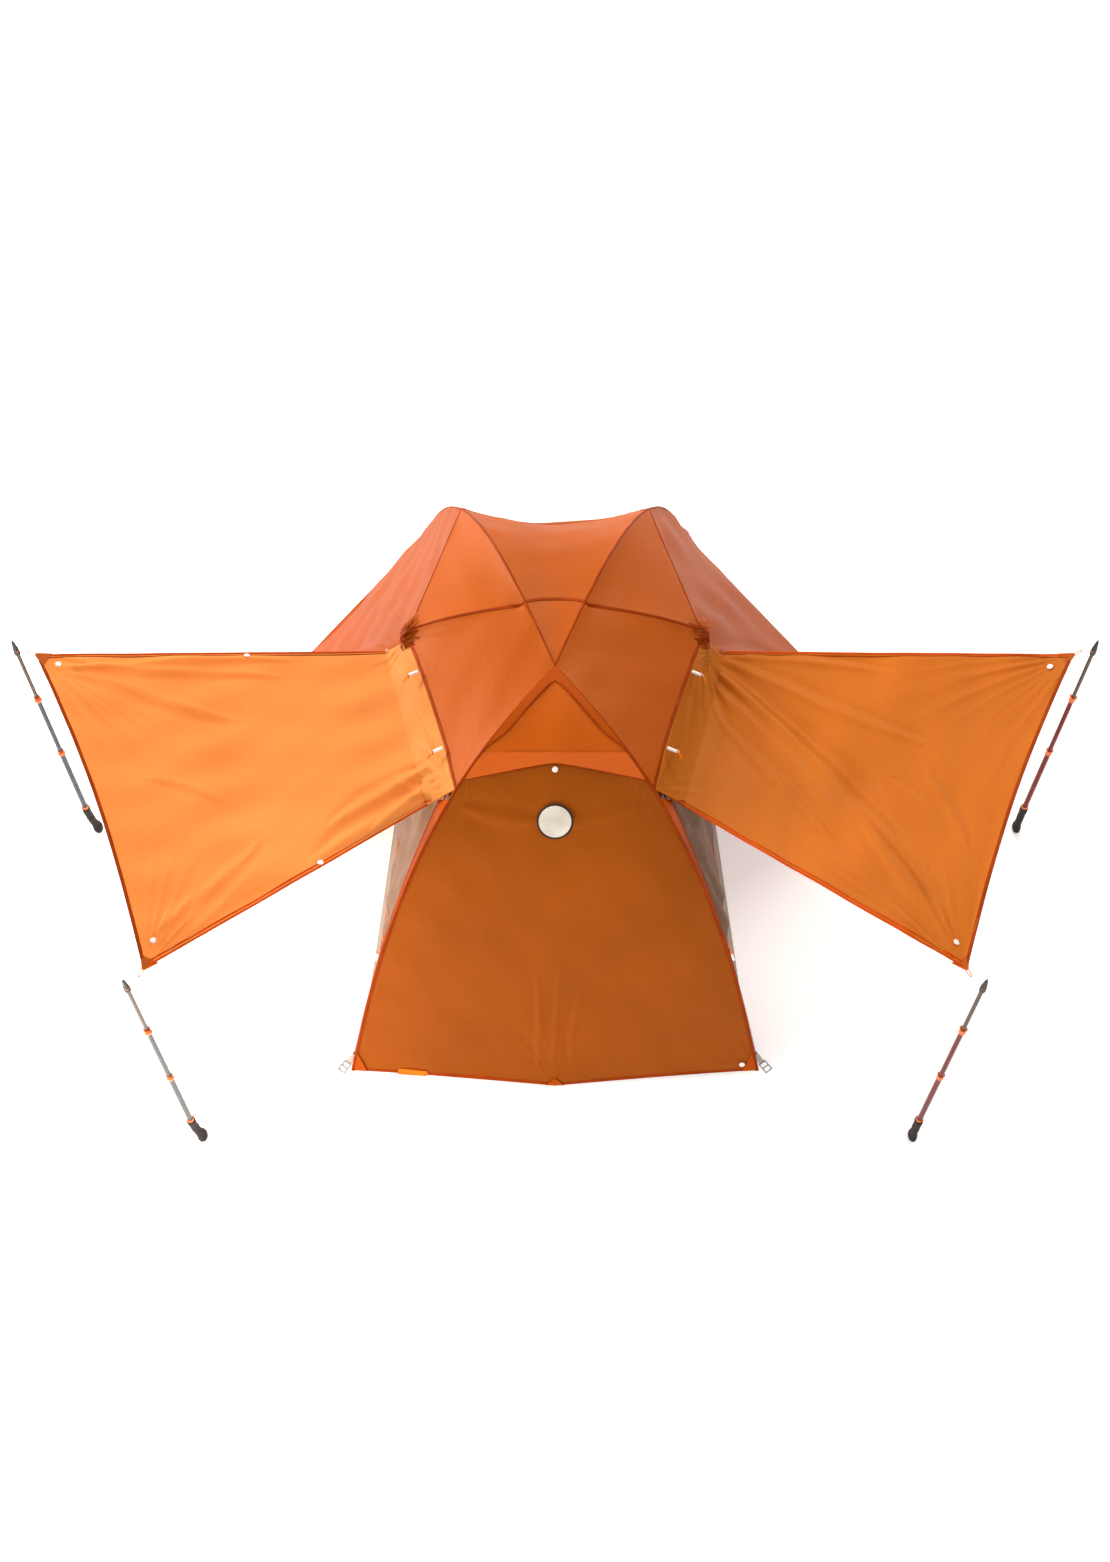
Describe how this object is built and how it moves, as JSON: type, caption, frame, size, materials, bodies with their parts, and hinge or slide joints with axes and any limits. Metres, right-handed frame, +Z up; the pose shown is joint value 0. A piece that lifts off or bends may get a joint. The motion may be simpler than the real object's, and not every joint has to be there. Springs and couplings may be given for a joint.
{
  "type": "frame tent",
  "caption": "Free-standing frame tent with arched legs, brow pole, two mesh doors and fly doors raised as awnings on trekking poles.",
  "frame": {"origin": "middle of the floor's underside, on the ground", "axes": "+Z up; -Y towards the head end; +X to the right seen from the head end"},
  "size_m": [3.338, 2.4759, 1.255],
  "materials": {
    "fly_fabric": "thin coated ripstop, slight sheen",
    "awning_fabric": "thin coated ripstop, bright where light comes through",
    "wall_fabric": "thin coated ripstop, darker",
    "mesh_fabric": "fine insect mesh",
    "floor_fabric": "coated floor cloth",
    "frame_alloy": "anodised tube",
    "hard_plastic": "moulded",
    "webbing": "woven strap",
    "toggle_plastic": "moulded",
    "grip_rubber": "foam and rubber",
    "lever_plastic": "moulded",
    "grey_tube": "anodised",
    "red_tube": "anodised"
  },
  "bodies": {
    "root": {"brow_pole": "frame_alloy", "corner_strap_foot_left": "webbing", "corner_strap_foot_right": "webbing", "corner_strap_head_left": "webbing", "corner_strap_head_right": "webbing", "floor_tub": "floor_fabric", "fly_foot_wall": "fly_fabric", "fly_head_wall": "wall_fabric", "fly_roof_centre": "fly_fabric", "fly_roof_rear_left": "fly_fabric", "fly_roof_rear_right": "fly_fabric", "fly_roof_side_left": "fly_fabric", "fly_roof_side_right": "fly_fabric", "fly_side_strip_left": "fly_fabric", "fly_side_strip_right": "fly_fabric", "fly_vent": "fly_fabric", "fly_vestibule_left": "fly_fabric", "fly_vestibule_right": "fly_fabric", "hub": "hard_plastic", "inner_foot_wall": "mesh_fabric", "inner_head_wall": "mesh_fabric", "inner_roof": "mesh_fabric", "inner_side_foot_left": "mesh_fabric", "inner_side_foot_right": "mesh_fabric", "inner_side_head_left": "mesh_fabric", "inner_side_head_right": "mesh_fabric", "leg_foot_left": "frame_alloy", "leg_foot_right": "frame_alloy", "leg_head_left": "frame_alloy", "leg_head_right": "frame_alloy", "toggle_far_left": "toggle_plastic", "toggle_far_right": "toggle_plastic", "toggle_near_left": "toggle_plastic", "toggle_near_right": "toggle_plastic", "trek_far_left_grip": "grip_rubber", "trek_far_right_grip": "grip_rubber", "trek_near_left_grip": "grip_rubber", "trek_near_right_grip": "grip_rubber"},
    "awning_left": {"awning_left": "awning_fabric"},
    "awning_right": {"awning_right": "awning_fabric"},
    "inner_door_left": {"inner_door_left": "mesh_fabric"},
    "inner_door_right": {"inner_door_right": "mesh_fabric"},
    "zip_slider_left": {"zip_slider_left": "hard_plastic"},
    "zip_slider_right": {"zip_slider_right": "hard_plastic"},
    "trek_far_left_middle": {"trek_far_left_middle_tube": "grey_tube"},
    "trek_far_left_lower": {"trek_far_left_lower_tube": "grey_tube"},
    "trek_far_left_upper_lever": {"trek_far_left_upper_lever": "lever_plastic"},
    "trek_far_left_lower_lever": {"trek_far_left_lower_lever": "lever_plastic"},
    "trek_near_left_middle": {"trek_near_left_middle_tube": "grey_tube"},
    "trek_near_left_lower": {"trek_near_left_lower_tube": "grey_tube"},
    "trek_near_left_upper_lever": {"trek_near_left_upper_lever": "lever_plastic"},
    "trek_near_left_lower_lever": {"trek_near_left_lower_lever": "lever_plastic"},
    "trek_far_right_middle": {"trek_far_right_middle_tube": "red_tube"},
    "trek_far_right_lower": {"trek_far_right_lower_tube": "red_tube"},
    "trek_far_right_upper_lever": {"trek_far_right_upper_lever": "lever_plastic"},
    "trek_far_right_lower_lever": {"trek_far_right_lower_lever": "lever_plastic"},
    "trek_near_right_middle": {"trek_near_right_middle_tube": "red_tube"},
    "trek_near_right_lower": {"trek_near_right_lower_tube": "red_tube"},
    "trek_near_right_upper_lever": {"trek_near_right_upper_lever": "lever_plastic"},
    "trek_near_right_lower_lever": {"trek_near_right_lower_lever": "lever_plastic"}
  },
  "joints": [
    {"name": "awning_left_swing", "type": "hinge", "parent": "root", "child": "awning_left", "pos_m": [-0.51, 0.02, 0.79], "axis": [0.2369, -0.9633, 0.1263], "range_deg": [-8, 55]},
    {"name": "awning_right_swing", "type": "hinge", "parent": "root", "child": "awning_right", "pos_m": [0.51, 0.02, 0.79], "axis": [0.2369, 0.9633, -0.1263], "range_deg": [-8, 55]},
    {"name": "inner_door_left_fold", "type": "hinge", "parent": "root", "child": "inner_door_left", "pos_m": [-0.59214, -0.8, 0.158], "axis": [0.0889, 0.996, 0], "range_deg": [0, 30]},
    {"name": "inner_door_right_fold", "type": "hinge", "parent": "root", "child": "inner_door_right", "pos_m": [0.59214, -0.8, 0.158], "axis": [0.0889, -0.996, 0], "range_deg": [0, 30]},
    {"name": "zip_left_run", "type": "slide", "parent": "root", "child": "zip_slider_left", "axis": [-0.7161, -0.0045, -0.698], "range_m": [0, 1]},
    {"name": "zip_right_run", "type": "slide", "parent": "root", "child": "zip_slider_right", "axis": [0.7161, -0.0045, -0.698], "range_m": [0, 1]},
    {"name": "trek_far_left_middle_slide", "type": "slide", "parent": "root", "child": "trek_far_left_middle", "axis": [0, 0, 1], "range_m": [-0.22, 0.05]},
    {"name": "trek_far_left_lower_slide", "type": "slide", "parent": "trek_far_left_middle", "child": "trek_far_left_lower", "axis": [0, 0, 1], "range_m": [-0.22, 0.05]},
    {"name": "trek_far_left_upper_clamp", "type": "hinge", "parent": "root", "child": "trek_far_left_upper_lever", "pos_m": [-1.64015, -0.215, 0.526], "axis": [0, 0, 1], "range_deg": [0, 100]},
    {"name": "trek_far_left_lower_clamp", "type": "hinge", "parent": "trek_far_left_middle", "child": "trek_far_left_lower_lever", "pos_m": [-1.64015, -0.215, 0.857], "axis": [0, 0, 1], "range_deg": [0, 100]},
    {"name": "trek_near_left_middle_slide", "type": "slide", "parent": "root", "child": "trek_near_left_middle", "axis": [0, 0, 1], "range_m": [-0.22, 0.05]},
    {"name": "trek_near_left_lower_slide", "type": "slide", "parent": "trek_near_left_middle", "child": "trek_near_left_lower", "axis": [0, 0, 1], "range_m": [-0.22, 0.05]},
    {"name": "trek_near_left_upper_clamp", "type": "hinge", "parent": "root", "child": "trek_near_left_upper_lever", "pos_m": [-1.15915, -1.365, 0.526], "axis": [0, 0, 1], "range_deg": [0, 100]},
    {"name": "trek_near_left_lower_clamp", "type": "hinge", "parent": "trek_near_left_middle", "child": "trek_near_left_lower_lever", "pos_m": [-1.15915, -1.365, 0.887], "axis": [0, 0, 1], "range_deg": [0, 100]},
    {"name": "trek_far_right_middle_slide", "type": "slide", "parent": "root", "child": "trek_far_right_middle", "axis": [0, 0, 1], "range_m": [-0.22, 0.05]},
    {"name": "trek_far_right_lower_slide", "type": "slide", "parent": "trek_far_right_middle", "child": "trek_far_right_lower", "axis": [0, 0, 1], "range_m": [-0.22, 0.05]},
    {"name": "trek_far_right_upper_clamp", "type": "hinge", "parent": "root", "child": "trek_far_right_upper_lever", "pos_m": [1.66585, -0.215, 0.526], "axis": [0, 0, -1], "range_deg": [0, 100]},
    {"name": "trek_far_right_lower_clamp", "type": "hinge", "parent": "trek_far_right_middle", "child": "trek_far_right_lower_lever", "pos_m": [1.66585, -0.215, 0.857], "axis": [0, 0, -1], "range_deg": [0, 100]},
    {"name": "trek_near_right_middle_slide", "type": "slide", "parent": "root", "child": "trek_near_right_middle", "axis": [0, 0, 1], "range_m": [-0.22, 0.05]},
    {"name": "trek_near_right_lower_slide", "type": "slide", "parent": "trek_near_right_middle", "child": "trek_near_right_lower", "axis": [0, 0, 1], "range_m": [-0.22, 0.05]},
    {"name": "trek_near_right_upper_clamp", "type": "hinge", "parent": "root", "child": "trek_near_right_upper_lever", "pos_m": [1.18485, -1.365, 0.526], "axis": [0, 0, -1], "range_deg": [0, 100]},
    {"name": "trek_near_right_lower_clamp", "type": "hinge", "parent": "trek_near_right_middle", "child": "trek_near_right_lower_lever", "pos_m": [1.18485, -1.365, 0.887], "axis": [0, 0, -1], "range_deg": [0, 100]}
  ]
}
